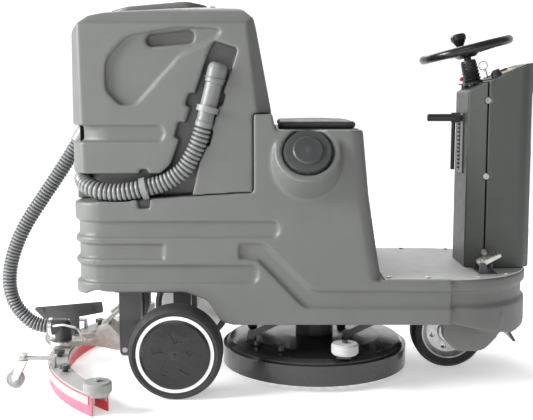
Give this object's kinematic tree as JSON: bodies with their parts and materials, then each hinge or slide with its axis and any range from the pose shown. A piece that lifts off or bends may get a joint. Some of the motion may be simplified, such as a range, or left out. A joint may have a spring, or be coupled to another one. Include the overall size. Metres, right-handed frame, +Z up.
{
  "type": "ride-on floor scrubber",
  "caption": "Three-wheeled ride-on floor scrubber with a round brush deck, curved rear squeegee, water tanks and a steered drive wheel.",
  "frame": {"origin": "on the floor under the centre of the bounding box, without the suction hose", "axes": "+X forward, +Y to the driver's left, +Z up"},
  "size_m": [1.6159, 0.985, 1.0974],
  "materials": {
    "moulded_grey": "pebbled rotomoulded polyethylene",
    "console_grey": "pebbled rotomoulded polyethylene",
    "black_plastic": "satin",
    "black_gloss": "gloss",
    "hose_grey": "corrugated",
    "steel_zinc": "zinc plated",
    "frame_black": "satin black",
    "deck_black": "gloss black",
    "plate_grey": "studded sheet",
    "tyre_black": "matt",
    "rim_white": "satin",
    "cast_silver": "cast",
    "roller_grey": "matt",
    "roller_white": "satin",
    "bristle": "nylon tufts",
    "blade_pink": "polyurethane",
    "blade_red": "polyurethane",
    "seat_black": "grained vinyl",
    "red_button": "gloss",
    "display_orange": "lens",
    "battery_dark": "moulded",
    "motor_grey": "cast"
  },
  "bodies": {
    "chassis": {"main_body": "moulded_grey", "recovery_tank": "moulded_grey", "column_rear_cover": "console_grey", "column_front_cover": "console_grey", "plastic_fittings": "black_plastic", "vacuum_motor": "motor_grey", "chassis_frame": "frame_black", "axles_and_bearings": "steel_zinc", "foot_plate": "plate_grey", "screws": "steel_zinc", "control_panel": "black_plastic", "display": "display_orange", "steering_boot": "black_plastic", "steel_fittings": "frame_black", "batteries": "battery_dark", "lift_springs": "steel_zinc", "suction_hose": "hose_grey", "drain_hose": "hose_grey"},
    "steering_wheel": {"steering_wheel": "black_plastic"},
    "wheel_knob": {"wheel_knob": "black_gloss"},
    "steering_fork": {"steering_fork": "frame_black"},
    "front_wheel": {"front_tyre": "tyre_black", "front_hub": "cast_silver"},
    "rear_wheel_left": {"rear_tyre_left": "tyre_black", "rear_hub_left": "rim_white", "hub_cap_left": "black_gloss"},
    "rear_wheel_right": {"rear_tyre_right": "tyre_black", "rear_hub_right": "rim_white", "hub_cap_right": "black_gloss"},
    "deck_arm_front": {"deck_arm_front": "frame_black"},
    "deck_arm_rear": {"deck_arm_rear": "frame_black"},
    "deck": {"deck_shell": "deck_black", "deck_skirt": "deck_black", "brush_motor": "motor_grey"},
    "brush": {"brush_disc": "black_plastic", "brush_bristles": "bristle"},
    "deck_roller": {"deck_roller": "roller_white"},
    "squeegee_arm": {"squeegee_arm": "steel_zinc", "suction_elbow": "black_plastic"},
    "squeegee_head": {"squeegee_bar": "frame_black", "squeegee_trim": "black_plastic", "front_blade": "blade_red", "rear_blade": "blade_pink"},
    "squeegee_roller_left": {"squeegee_roller_left": "roller_grey"},
    "squeegee_roller_right": {"squeegee_roller_right": "roller_grey"},
    "caster_left": {"caster_fork_left": "steel_zinc"},
    "caster_right": {"caster_fork_right": "steel_zinc"},
    "caster_wheel_left": {"caster_wheel_left": "roller_grey"},
    "caster_wheel_right": {"caster_wheel_right": "roller_grey"},
    "lift_lever": {"lift_lever": "black_plastic"},
    "pedal": {"pedal": "steel_zinc"},
    "seat": {"seat_pan": "frame_black", "seat_cushion": "seat_black"},
    "tank_lid": {"tank_lid": "moulded_grey"},
    "filler_cap": {"filler_cap": "black_plastic"},
    "drain_cap": {"drain_cap": "black_plastic"},
    "key": {"key": "steel_zinc"},
    "e_stop_button": {"e_stop_button": "red_button"},
    "speed_knob": {"speed_knob": "black_plastic"},
    "horn_button": {"horn_button": "black_gloss"}
  },
  "joints": [
    {"name": "steering_turn", "type": "hinge", "parent": "chassis", "child": "steering_wheel", "pos_m": [0.58237, 0, 0.973], "axis": [-0.2385, 0, 0.9711], "range_deg": [-200, 200]},
    {"name": "fork_turn", "type": "hinge", "parent": "chassis", "child": "steering_fork", "pos_m": [0.54637, 0, 0.1125], "axis": [0, 0, 1], "range_deg": [-80, 80]},
    {"name": "front_wheel_spin", "type": "hinge", "parent": "steering_fork", "child": "front_wheel", "pos_m": [0.54637, 0, 0.1125], "axis": [0, 1, 0], "continuous": true},
    {"name": "knob_spin", "type": "hinge", "parent": "steering_wheel", "child": "wheel_knob", "pos_m": [0.59597, 0.1255, 0.97634], "axis": [-0.2385, 0, 0.9711], "continuous": true},
    {"name": "rear_wheel_left_spin", "type": "hinge", "parent": "chassis", "child": "rear_wheel_left", "pos_m": [-0.26763, 0, 0.13], "axis": [0, 1, 0], "continuous": true},
    {"name": "rear_wheel_right_spin", "type": "hinge", "parent": "chassis", "child": "rear_wheel_right", "pos_m": [-0.26763, 0, 0.13], "axis": [0, 1, 0], "continuous": true},
    {"name": "deck_lift", "type": "hinge", "parent": "chassis", "child": "deck_arm_front", "pos_m": [0.33237, 0, 0.178], "axis": [0, 1, 0], "range_deg": [0, 20]},
    {"name": "deck_level", "type": "hinge", "parent": "deck_arm_front", "child": "deck", "pos_m": [0.22471, 0, 0.125], "axis": [0, 1, 0], "range_deg": [-20, 0]},
    {"name": "deck_arm_rear_turn", "type": "hinge", "parent": "chassis", "child": "deck_arm_rear", "pos_m": [0.04637, 0, 0.178], "axis": [0, 1, 0], "range_deg": [0, 20]},
    {"name": "brush_spin", "type": "hinge", "parent": "deck", "child": "brush", "pos_m": [0.13237, 0, 0.06], "axis": [0, 0, 1], "continuous": true},
    {"name": "deck_roller_spin", "type": "hinge", "parent": "deck", "child": "deck_roller", "pos_m": [0.20337, -0.282, 0.13], "axis": [0, 0, 1], "continuous": true},
    {"name": "squeegee_lift", "type": "hinge", "parent": "chassis", "child": "squeegee_arm", "pos_m": [-0.45063, 0, 0.063], "axis": [0, 1, 0], "range_deg": [0, 18], "deforming": ["suction_hose", "lift_springs"]},
    {"name": "squeegee_yaw", "type": "hinge", "parent": "squeegee_arm", "child": "squeegee_head", "pos_m": [-0.65163, 0, 0.06], "axis": [0, 0, 1], "range_deg": [-7, 7]},
    {"name": "squeegee_roller_left_spin", "type": "hinge", "parent": "squeegee_head", "child": "squeegee_roller_left", "pos_m": [-0.45963, 0.455, 0.077], "axis": [0, 0, 1], "continuous": true},
    {"name": "caster_left_swivel", "type": "hinge", "parent": "squeegee_head", "child": "caster_left", "pos_m": [-0.71363, 0.225, 0.08], "axis": [0, 0, 1], "continuous": true},
    {"name": "caster_left_spin", "type": "hinge", "parent": "caster_left", "child": "caster_wheel_left", "pos_m": [-0.74063, 0.225, 0.026], "axis": [0, 1, 0], "continuous": true},
    {"name": "squeegee_roller_right_spin", "type": "hinge", "parent": "squeegee_head", "child": "squeegee_roller_right", "pos_m": [-0.45963, -0.455, 0.077], "axis": [0, 0, 1], "continuous": true},
    {"name": "caster_right_swivel", "type": "hinge", "parent": "squeegee_head", "child": "caster_right", "pos_m": [-0.71363, -0.225, 0.08], "axis": [0, 0, 1], "continuous": true},
    {"name": "caster_right_spin", "type": "hinge", "parent": "caster_right", "child": "caster_wheel_right", "pos_m": [-0.74063, -0.225, 0.026], "axis": [0, 1, 0], "continuous": true},
    {"name": "lift_lever_slide", "type": "slide", "parent": "chassis", "child": "lift_lever", "axis": [0, 0, 1], "range_m": [-0.1201, 0]},
    {"name": "pedal_press", "type": "hinge", "parent": "chassis", "child": "pedal", "pos_m": [0.60637, -0.16, 0.352], "axis": [0, 1, 0], "range_deg": [0, 12], "stiffness_Nm_per_rad": 2, "springref_deg": -17.19},
    {"name": "seat_tilt", "type": "hinge", "parent": "chassis", "child": "seat", "pos_m": [0.10637, 0.245, 0.75], "axis": [-1, 0, 0], "range_deg": [0, 70]},
    {"name": "lid_open", "type": "hinge", "parent": "chassis", "child": "tank_lid", "pos_m": [-0.17363, 0, 1.087], "axis": [0, 1, 0], "range_deg": [0, 80]},
    {"name": "filler_cap_turn", "type": "hinge", "parent": "chassis", "child": "filler_cap", "pos_m": [0.09637, -0.262, 0.664], "axis": [0, -0.866, 0.5], "range_deg": [0, 100]},
    {"name": "drain_cap_pull", "type": "slide", "parent": "chassis", "child": "drain_cap", "axis": [0.249, 0, 0.9685], "range_m": [0, 0.04]},
    {"name": "key_turn", "type": "hinge", "parent": "chassis", "child": "key", "pos_m": [0.66695, 0.062, 0.89219], "axis": [-0.3968, 0, 0.9179], "range_deg": [-90, 0]},
    {"name": "e_stop_press", "type": "slide", "parent": "chassis", "child": "e_stop_button", "axis": [0, 0, -1], "range_m": [0, 0.006], "stiffness_N_per_m": 400, "springref_m": -0.002},
    {"name": "speed_knob_turn", "type": "hinge", "parent": "chassis", "child": "speed_knob", "pos_m": [0.66695, -0.05, 0.89219], "axis": [-0.3968, 0, 0.9179], "range_deg": [-135, 135]},
    {"name": "horn_press", "type": "slide", "parent": "chassis", "child": "horn_button", "axis": [0.3968, 0, -0.9179], "range_m": [0, 0.003], "stiffness_N_per_m": 300, "springref_m": -0.001}
  ],
  "couplings": [
    {"joint": "fork_turn", "follows": "steering_turn", "ratio": 0.4},
    {"joint": "deck_level", "follows": "deck_lift", "ratio": -1},
    {"joint": "deck_arm_rear_turn", "follows": "deck_lift", "ratio": 1},
    {"joint": "lift_lever_slide", "follows": "squeegee_lift", "m_per_rad": -0.38197}
  ]
}
